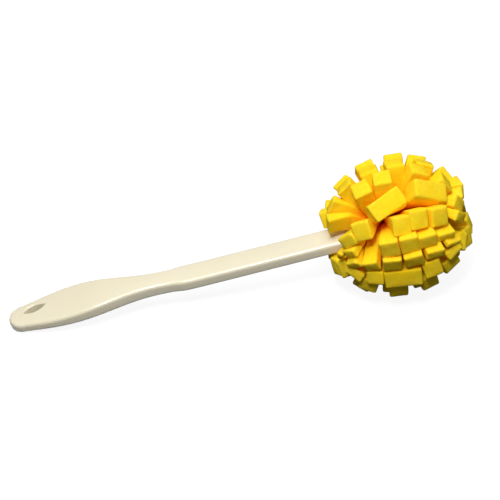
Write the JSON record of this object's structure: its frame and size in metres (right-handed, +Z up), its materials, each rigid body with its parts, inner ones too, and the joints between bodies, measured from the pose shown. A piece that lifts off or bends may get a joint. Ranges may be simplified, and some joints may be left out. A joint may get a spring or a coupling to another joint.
{
  "type": "dish wand",
  "caption": "Dish wand: long ivory plastic handle with a hang hole, its forked end holding slit yellow foam sheets that fan out into a ball of square fingers.",
  "frame": {"origin": "middle of the bounding box, on the table that the wand lies on", "axes": "+X from the tip of the handle to the foam ball, +Z up, the front is -Y; the handle rises to the ball by about nine degrees"},
  "size_m": [0.2997, 0.0871, 0.087],
  "materials": {
    "ivory_plastic": "gloss",
    "yellow_foam": "matte",
    "rivet_steel": "satin"
  },
  "bodies": {
    "root": {"handle": "ivory_plastic", "fork_rivet": "rivet_steel", "foam_sheet_1": "yellow_foam", "foam_sheet_2": "yellow_foam", "foam_sheet_3": "yellow_foam", "foam_sheet_4": "yellow_foam", "foam_sheet_5": "yellow_foam", "foam_sheet_6": "yellow_foam", "foam_sheet_7": "yellow_foam", "foam_sheet_8": "yellow_foam"}
  },
  "joints": []
}
